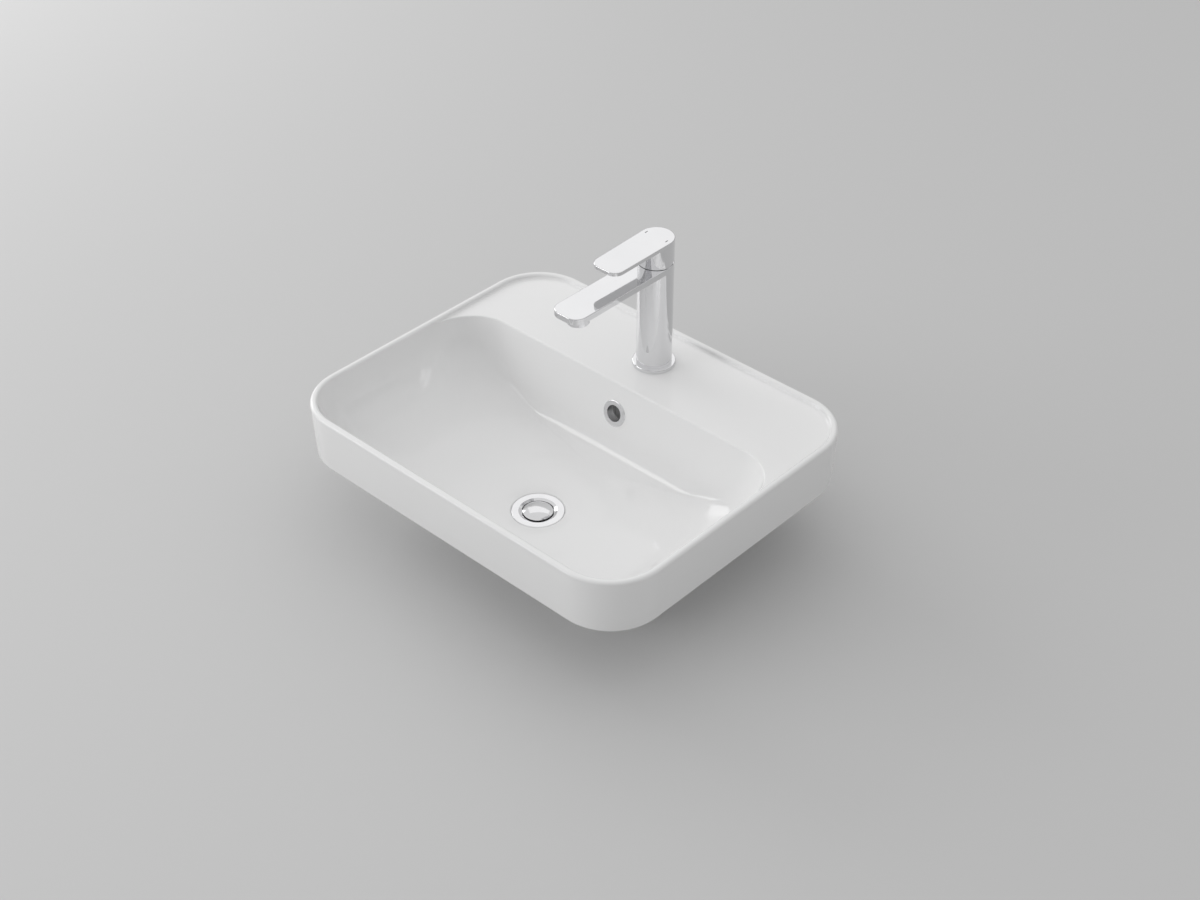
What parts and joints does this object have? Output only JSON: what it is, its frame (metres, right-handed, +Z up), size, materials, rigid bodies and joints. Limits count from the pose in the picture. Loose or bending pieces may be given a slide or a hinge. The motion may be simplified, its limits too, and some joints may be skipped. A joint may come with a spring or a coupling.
{
  "type": "inset basin with mixer tap",
  "caption": "White ceramic inset basin with a raised rim, deck-mounted single-lever mixer tap, overflow and push-open waste.",
  "frame": {"origin": "on the floor plane of the foot, under the centre of the basin's outline", "axes": "+Z up, +Y from the user towards the tap at the back, +X to the user's right"},
  "size_m": [0.5198, 0.4198, 0.3312],
  "materials": {
    "glazed_china": "gloss",
    "tap_chrome": "polished",
    "waste_chrome": "polished",
    "dark_rubber": "matte",
    "bare_brass": "satin",
    "cartridge_plastic": "matte",
    "grey_plastic": "matte",
    "disc_ceramic": "polished",
    "plain_steel": "satin",
    "copper_tube": "satin",
    "index_enamel": "gloss"
  },
  "bodies": {
    "basin": {"basin_body": "glazed_china", "overflow_trim": "waste_chrome", "waste_body": "waste_chrome", "tap_body": "tap_chrome", "base_ring": "tap_chrome", "aerator_housing": "tap_chrome", "cartridge_cover": "tap_chrome", "waste_top_seal": "dark_rubber", "waste_bottom_seal": "dark_rubber", "base_seal": "dark_rubber", "aerator_seal": "dark_rubber", "cartridge_seal": "dark_rubber", "clamp_rubber": "dark_rubber", "waste_backnut": "bare_brass", "cartridge_nut": "bare_brass", "fixing_nut": "bare_brass", "click_cartridge": "grey_plastic", "aerator_insert": "grey_plastic", "cartridge_housing": "cartridge_plastic", "fixed_disc": "disc_ceramic", "fixing_stud": "plain_steel", "clamp_plate": "plain_steel", "click_spring": "plain_steel", "hot_riser": "copper_tube", "cold_riser": "copper_tube"},
    "plug": {"plug_dome": "waste_chrome", "plug_seal": "dark_rubber", "plug_stem": "bare_brass"},
    "turning": {"spindle_carrier": "cartridge_plastic", "pivot_pin": "plain_steel"},
    "lever": {"handle": "tap_chrome", "spindle": "bare_brass", "grub_screw": "plain_steel", "screw_plug": "tap_chrome", "hot_mark": "index_enamel", "cold_mark": "index_enamel"},
    "slider": {"moving_disc": "disc_ceramic"}
  },
  "joints": [
    {"name": "plug_pop", "type": "slide", "parent": "basin", "child": "plug", "axis": [0, 0, 1], "range_m": [0, 0.008], "deforming": ["click_spring"]},
    {"name": "handle_turn", "type": "hinge", "parent": "basin", "child": "turning", "pos_m": [0, 0.143, 0.298], "axis": [0, 0, 1], "range_deg": [-45, 45]},
    {"name": "handle_lift", "type": "hinge", "parent": "turning", "child": "lever", "pos_m": [0, 0.143, 0.298], "axis": [-1, 0, 0], "range_deg": [0, 18]},
    {"name": "disc_slide", "type": "slide", "parent": "turning", "child": "slider", "axis": [0, -1, 0], "range_m": [0, 0.0053]}
  ],
  "couplings": [
    {"joint": "disc_slide", "follows": "handle_lift", "m_per_rad": 0.01643}
  ]
}
